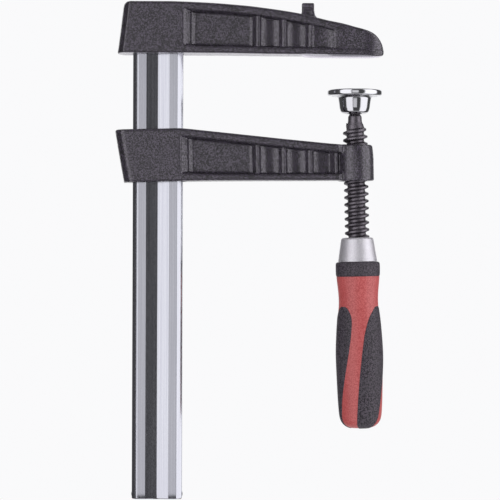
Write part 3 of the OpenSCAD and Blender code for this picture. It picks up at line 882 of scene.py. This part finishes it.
# split ring under the ball, with rounded edges and a cut in it
sec = fillet([(6.28, -1.42, 0.12), (7.36, -1.42, 0.25), (7.36, -1.7, 0.2), (6.9, -3.2, 0), (6.2, -4.35, 0), (5.8, -4.88, 0.25), (4.98, -4.88, 0.15),
              (4.98, -3.72, 0.12), (5.6, -2.75, 0), (6.02, -1.7, 0)], closed=True, step=0.1)
n_a = 84
a0 = math.asin(0.78 / 6.2)
th = np.linspace(a0, 2 * np.pi - a0, n_a)
v = np.array([[r * math.cos(t), r * math.sin(t), z] for t in th for r, z in sec])
k = len(sec)
f = [(i * k + j, (i + 1) * k + j, (i + 1) * k + (j + 1) % k, i * k + (j + 1) % k) for i in range(n_a - 1) for j in range(k)]
f += [tuple(range(k)), tuple(range((n_a - 1) * k + k - 1, (n_a - 1) * k - 1, -1))]
ob = add_mesh("retaining_ring_cut", v, f, place=on_pad, mat=M_SPRING, sharp=60)
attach(ob, "retaining_ring")
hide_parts("pad_retaining_ring")

# --------------------------------------------------------------------------
# handle
# --------------------------------------------------------------------------
GRIP_R = [(119.0, 15.05), (119.8, 15.05), (124, 14.7), (128.2, 14.25), (132.5, 13.9), (137.5, 13.75), (142, 14.0),
          (146, 14.45), (150.6, 14.95), (157.5, 15.5), (164.6, 15.95), (170, 16.2), (175.8, 16.3), (184, 16.15),
          (192.6, 15.9), (200, 15.65), (206.6, 15.4), (211.5, 15.1), (215.5, 14.8), (218.3, 14.35), (220.6, 13.6),
          (222.5, 12.4), (223.9, 10.9), (224.9, 9.3), (225.6, 7.2)]
BORDER_A = [(140.6, 60), (141.3, 50), (142.2, 46.5), (146.7, 30.9), (152.1, 20.2), (160.4, 11), (169.4, 5.5),
            (178.6, 1.2), (187.6, -2.6), (196.7, -5.8), (205.8, -9), (214.9, -11.8), (223, -15), (226.7, -16)]
BORDER_B = [(140.6, 74), (141.3, 80), (142.2, 85), (146.7, 96), (152.1, 99), (160.4, 97.4), (169.4, 93),
            (178.6, 87), (187.6, 79.5), (196.7, 71.5), (205.8, 63.5), (214.9, 57), (223, 51.5), (226.7, 50)]


def smooth_table(tab, per=12):
    P = np.array(spline(tab, per))
    return P[:, 0], P[:, 1]


# the grip's meridian, by length along it, so the rounded end gets its share
gs, gr = np.array(spline(GRIP_R[1:], 10)).T
glen = np.concatenate([[0], np.cumsum(np.hypot(np.diff(gs), np.diff(gr)))])


def grip_point(length):
    return np.interp(length, glen, gs), np.interp(length, glen, gr)


def grip_normal(length):
    e = 0.15
    s0, r0 = grip_point(np.maximum(length - e, 0))
    s1, r1 = grip_point(np.minimum(length + e, glen[-1]))
    ds, dr = s1 - s0, r1 - r0
    L = np.hypot(ds, dr) + 1e-9
    return -dr / L, ds / L       # (along s, along r), outwards


def grip_core():
    core = [(0, -96.7), (9.5, -96.7), (9.5, -109.0), (11.4, -109.6), (11.4, -119.3), (13.9, -119.75), (14.75, -119.85)]
    L = np.linspace(0, glen[-1], 150)
    s, r = grip_point(L)
    body = [(rr, -ss) for ss, rr in zip(s, r)]
    # the end is slightly dished, with a moulding gate in its middle
    end = [(6.6, -225.62), (5.9, -225.45), (4.8, -225.2), (2.6, -225.1), (2.2, -225.0), (1.9, -224.7), (0, -224.7)]
    return lathe(core + body + end, 160)


v, f = grip_core()
ob = add_mesh("grip_core", v, [tuple(reversed(x)) for x in f], place=on_screw, mat=M_RED, sharp=55)
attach(ob, "screw_and_handle")
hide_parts("handle_core")


def panel(turn):
    """One soft panel: a skin between two smooth borders, proud of the core,
    with a rolled edge that dips below the core's surface."""
    a_s, a_v = smooth_table(BORDER_A)
    b_s, b_v = smooth_table(BORDER_B)
    # outline in (meridian length, degrees)
    s_of = lambda x: np.interp(x, gs, glen)
    top = 140.6
    n_rows = 150
    # rows bunch up at the rounded top
    u = np.linspace(0, 1, n_rows)
    u = u ** 1.25
    l0, l1 = s_of(top), glen[-1]
    Ls = l0 + (l1 - l0) * u
    S_, R_ = grip_point(Ls)
    A = np.interp(S_, a_s, a_v)
    B = np.interp(S_, b_s, b_v)
    # a blend weight and midline for the blunt top of the outline; nothing below uses them
    w = np.clip((S_ - top) / 1.5, 0, 1)
    mid = (A + B) / 2
    # columns: bunched at both borders
    e = [0, 0.08, 0.18, 0.32, 0.5, 0.75, 1.1, 1.6, 2.4]
    cols = 44
    t_in = np.linspace(0, 1, cols)
    rows = []
    for i in range(n_rows):
        arc_len = math.radians(B[i] - A[i]) * R_[i]
        half = arc_len / 2
        left = [min(x, half * x / 2.6) for x in e]
        inner = np.linspace(left[-1], arc_len - left[-1], cols - 2 * len(e) + 2)
        xs = np.array(left[:-1] + list(inner) + [arc_len - x for x in left[:-1]][::-1])
        rows.append(A[i] + np.degrees(xs / R_[i]))
    T = np.array(rows)
    ncol = T.shape[1]
    # distance to the outline, on the unrolled surface
    bx = np.concatenate([np.radians(A[::-1]) * R_[::-1], np.radians(B) * R_])
    by = np.concatenate([Ls[::-1], Ls])
    X = np.radians(T) * R_[:, None]
    Y = np.repeat(Ls[:, None], ncol, 1)
    best = np.full(X.shape, 1e9)
    for i in range(len(bx) - 1):
        ex, ey = bx[i + 1] - bx[i], by[i + 1] - by[i]
        q = ex * ex + ey * ey
        if q < 1e-12:
            continue
        t = np.clip(((X - bx[i]) * ex + (Y - by[i]) * ey) / q, 0, 1)
        best = np.minimum(best, (X - bx[i] - t * ex) ** 2 + (Y - by[i] - t * ey) ** 2)
    d = np.sqrt(best)
    rr = 0.75
    k = np.clip(1 - d / rr, 0, 1)
    proud = -0.35 + (0.35 + 0.32) * np.sqrt(np.clip(1 - k * k, 0, 1))
    ns, nr = grip_normal(Ls)
    s_out = S_[:, None] + ns[:, None] * proud
    r_out = R_[:, None] + nr[:, None] * proud
    th = np.radians(T + turn)
    outer = np.stack([r_out * np.sin(th), -r_out * np.cos(th), -s_out], -1)
    s_in = S_[:, None] - ns[:, None] * 1.3 + 0 * proud
    r_in = R_[:, None] - nr[:, None] * 1.3 + 0 * proud
    r_in = np.maximum(r_in, 2)
    inner_v = np.stack([r_in * np.sin(th), -r_in * np.cos(th), -s_in], -1)
    m = n_rows * ncol
    v = np.vstack([outer.reshape(-1, 3), inner_v.reshape(-1, 3)])
    f = []
    for i in range(n_rows - 1):
        for j in range(ncol - 1):
            a, b, c, dd = i * ncol + j, i * ncol + j + 1, (i + 1) * ncol + j + 1, (i + 1) * ncol + j
            f.append((a, dd, c, b))
            f.append((m + a, m + b, m + c, m + dd))
    for i in range(n_rows - 1):
        a, c = i * ncol, (i + 1) * ncol
        f.append((a, m + a, m + c, c))
        a, c = a + ncol - 1, c + ncol - 1
        f.append((a, c, m + c, m + a))
    for j in range(ncol - 1):
        a, b = j, j + 1
        f.append((a, b, m + b, m + a))
        a, b = (n_rows - 1) * ncol + j, (n_rows - 1) * ncol + j + 1
        f.append((a, m + a, m + b, b))
    return v, f


for k in range(3):
    v, f = panel(120 * k)
    ob = add_mesh("soft_panel_%d" % (k + 1), v, f, place=on_screw, mat=M_SOFT, sharp=60)
    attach(ob, "screw_and_handle")
    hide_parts("grip_panel_%d" % (k + 1))

# collar: soft band with rolled edges and a shallow waist
col = fillet([(11.5, -109.65, 0), (14.1, -109.7, 0.6), (15.2, -110.3, 0.8), (15.45, -111.6, 1.0), (15.5, -114.5, 0),
              (15.45, -117.4, 0), (15.3, -118.9, 0.7), (14.95, -119.75, 0.35), (13.8, -119.8, 0)], step=0.12)
col = col + [(11.5, -119.8), (11.5, -109.65)]
v, f = lathe(col, 144)
ob = add_mesh("soft_collar", v, [tuple(reversed(x)) for x in f], place=on_screw, mat=M_SOFT, sharp=60)
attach(ob, "screw_and_handle")
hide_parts("grip_collar")

fer = fillet([(8.4, -95.5, 0), (8.4, -92.9, 0.2), (8.7, -92.65, 0.2), (10.3, -92.75, 0.9), (11.25, -93.8, 1.1), (11.7, -96.4, 1.5), (13.55, -108.6, 0),
              (13.6, -109.45, 0.25), (13.2, -109.6, 0.1), (9.6, -109.6, 0)], step=0.12)
fer = fer + [(9.6, -95.5), (8.4, -95.5)]
v, f = lathe(fer, 144)
ob = add_mesh("handle_ferrule", v, [tuple(reversed(x)) for x in f], place=on_screw, mat=M_SATIN, sharp=55)
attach(ob, "screw_and_handle")
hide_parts("ferrule")


# --------------------------------------------------------------------------
# floor, light, camera
# --------------------------------------------------------------------------
def floor():
    n = 64
    th = np.linspace(0, 2 * np.pi, n, endpoint=False)
    rings = [0.0, 300, 900, 2500, 7000, 20000]
    # the clamp hangs clear of the floor, with room for the arm at its lowest
    v, f = [[-70, 0, FLOOR_Z]], []
    for r in rings[1:]:
        v += [[-70 + r * math.cos(t), r * math.sin(t), FLOOR_Z] for t in th]
    for i in range(n):
        f.append((0, 1 + i, 1 + (i + 1) % n))
    for k in range(len(rings) - 2):
        for i in range(n):
            j = (i + 1) % n
            a, b = 1 + k * n, 1 + (k + 1) * n
            f.append((a + i, b + i, b + j, a + j))
    m = Mat("studio_floor")
    x, y, z = m.xyz()
    r = m.math("SQRT", m.math("ADD", m.math("POWER", m.math("ADD", x, 0.07), 2.0), m.math("POWER", y, 2.0)))
    near = m.ramp(r, ((0.35, 1.0), (1.0, 0.0)))
    # seen: pale, with a soft shadow near the object
    m.n.remove(m.bsdf)
    em = m.n.new("ShaderNodeEmission")
    em.inputs["Strength"].default_value = 1.0
    m.link(m.mix(near, PALE, tuple(c - FLOOR_DROP for c in PALE)), em.inputs["Color"])
    df = m.n.new("ShaderNodeBsdfDiffuse")
    m.link(m.mix(near, (0, 0, 0), (0.10, 0.10, 0.10)), df.inputs["Color"])
    seen = m.n.new("ShaderNodeAddShader")
    m.link(em.outputs[0], seen.inputs[0])
    m.link(df.outputs[0], seen.inputs[1])
    # the camera alone sees it; its bounce is part of the studio light below
    lit = m.n.new("ShaderNodeBsdfTransparent")
    lp = m.n.new("ShaderNodeLightPath")
    mx = m.n.new("ShaderNodeMixShader")
    m.link(lp.outputs["Is Camera Ray"], mx.inputs["Fac"])
    m.link(lit.outputs[0], mx.inputs[1])
    m.link(seen.outputs[0], mx.inputs[2])
    m.link(mx.outputs[0], next(x for x in m.n if x.type == "OUTPUT_MATERIAL").inputs["Surface"])
    return add_mesh("studio_floor", v, f, mat=m.m)


PALE = (0.955, 0.955, 0.965)
FLOOR_DROP = 0.04
FLOOR_Z = -530.0
fl = floor()

world = bpy.data.worlds.new("studio")
SCENE.world = world
world.use_nodes = True
wt = world.node_tree
for nd in list(wt.nodes):
    wt.nodes.remove(nd)
out = wt.nodes.new("ShaderNodeOutputWorld")
tc = wt.nodes.new("ShaderNodeTexCoord").outputs["Generated"]
sep = wt.nodes.new("ShaderNodeSeparateXYZ")
wt.links.new(tc, sep.inputs[0])


def wmath(op, a, b=None, c=None):
    x = wt.nodes.new("ShaderNodeMath")
    x.operation = op
    for i, k in enumerate((a, b, c)):
        if k is None:
            continue
        if isinstance(k, (int, float)):
            x.inputs[i].default_value = k
        else:
            wt.links.new(k, x.inputs[i])
    return x.outputs[0]


def wstep(val, a, b):
    x = wt.nodes.new("ShaderNodeMapRange")
    x.interpolation_type = "SMOOTHSTEP"
    x.inputs["From Min"].default_value = a
    x.inputs["From Max"].default_value = b
    wt.links.new(val, x.inputs["Value"])
    return x.outputs["Result"]


LEFT, RIGHT, MID = 1.85, 2.1, 1.08
az = wmath("MULTIPLY", wmath("ARCTAN2", sep.outputs[0], wmath("MULTIPLY", sep.outputs[1], -1.0)), 180 / math.pi)
el = wmath("MULTIPLY", wmath("ARCSINE", sep.outputs[2]), 180 / math.pi)


def panel_light(a0, a1, e0, e1, soft, gain):
    """A soft box between two azimuths and two elevations, seen from the object."""
    m = wmath("MULTIPLY", wstep(az, a0 - soft, a0 + soft), wstep(az, a1 + soft, a1 - soft))
    m = wmath("MULTIPLY", m, wstep(el, e0 - soft, e0 + soft))
    m = wmath("MULTIPLY", m, wstep(el, e1 + soft, e1 - soft))
    return wmath("MULTIPLY", m, gain)


L = wmath("ADD", panel_light(-66, -17, -52, 55, 4, LEFT), panel_light(42, 104, -52, 55, 5, RIGHT))
# a low reflector round the camera
L = wmath("ADD", L, panel_light(-13, 14, -17, 9, 2.5, MID))
# the white backdrop
back = wmath("SUBTRACT", 180.0, wmath("ABSOLUTE", az))
L = wmath("ADD", L, wmath("MULTIPLY", wstep(back, 34, 26), 1.0))
L = wmath("ADD", L, wmath("MULTIPLY", wstep(el, 58, 80), 0.6))
# the floor's bounce
L = wmath("ADD", L, wmath("MULTIPLY", wstep(el, -52, -62), 0.6))
L = wmath("ADD", L, 0.12)
bg_light = wt.nodes.new("ShaderNodeBackground")
bg_light.inputs["Color"].default_value = (0.985, 0.99, 1.0, 1)
wt.links.new(L, bg_light.inputs["Strength"])
bg_seen = wt.nodes.new("ShaderNodeBackground")
bg_seen.inputs["Color"].default_value = (*PALE, 1)
bg_seen.inputs["Strength"].default_value = 1.0
lp = wt.nodes.new("ShaderNodeLightPath")
mx = wt.nodes.new("ShaderNodeMixShader")
wt.links.new(lp.outputs["Is Camera Ray"], mx.inputs["Fac"])
wt.links.new(bg_light.outputs[0], mx.inputs[1])
wt.links.new(bg_seen.outputs[0], mx.inputs[2])
wt.links.new(mx.outputs[0], out.inputs["Surface"])

SCENE.view_settings.view_transform = "Standard"
SCENE.view_settings.look = "None"

cam_data = bpy.data.cameras.new("photo_camera")
cam = bpy.data.objects.new("photo_camera", cam_data)
SCENE.collection.objects.link(cam)
D = 1.568
cam.location = (-0.0729, -D, -0.1348)
cam.rotation_euler = (math.radians(90), math.radians(-0.2), 0)
cam_data.sensor_width = 36
cam_data.lens = 36 * D / 0.350
cam_data.clip_start, cam_data.clip_end = 0.05, 100
cam_data.dof.use_dof = False
SCENE.camera = cam

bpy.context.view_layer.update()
